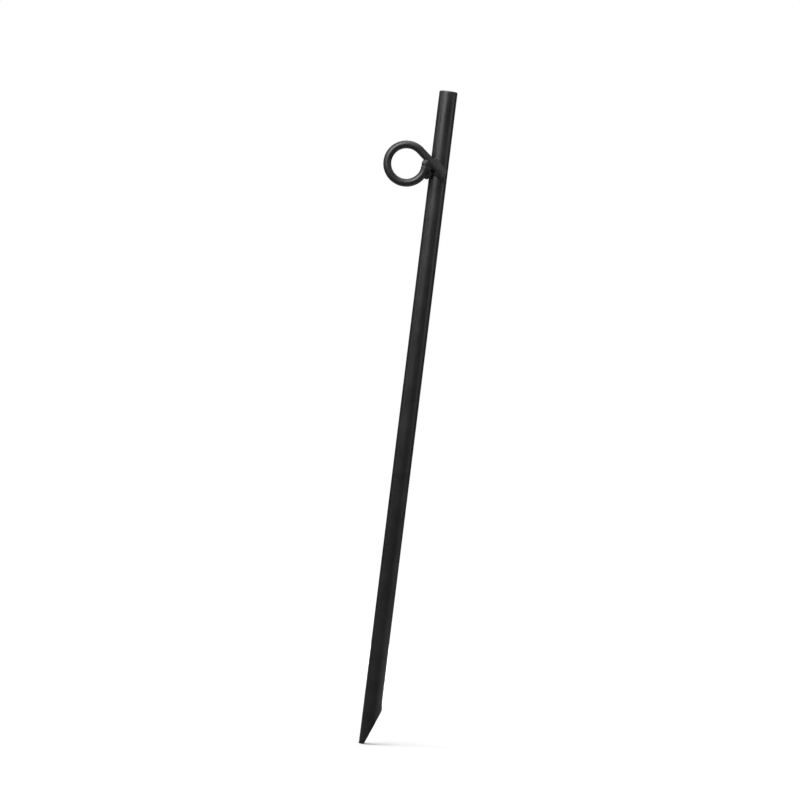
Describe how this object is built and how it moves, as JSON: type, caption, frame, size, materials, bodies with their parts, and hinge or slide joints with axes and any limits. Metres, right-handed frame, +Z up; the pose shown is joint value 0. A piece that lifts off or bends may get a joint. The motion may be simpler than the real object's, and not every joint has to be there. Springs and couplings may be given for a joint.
{
  "type": "tent stake",
  "caption": "Heavy steel ground stake: a round bar with a slanted sheared point and a bent wire eye welded across its front near the driving end.",
  "frame": {"origin": "on the bar's axis, level with the lowest point of the tip", "axes": "+Z up the bar's axis to the driving face, the eye stands out along -X, and the eye's tail crosses the bar's front, which faces -Y"},
  "size_m": [0.0453, 0.0179, 0.4572],
  "materials": {
    "bar_black": "satin black coating over steel bar",
    "wire_black": "satin black coating over steel wire",
    "weld_black": "black coating over rippled weld metal"
  },
  "bodies": {
    "root": {"stake_rod": "bar_black", "eye_ring": "wire_black", "upper_weld": "weld_black", "lower_weld": "weld_black", "corner_weld": "weld_black", "closing_weld": "weld_black"}
  },
  "joints": []
}
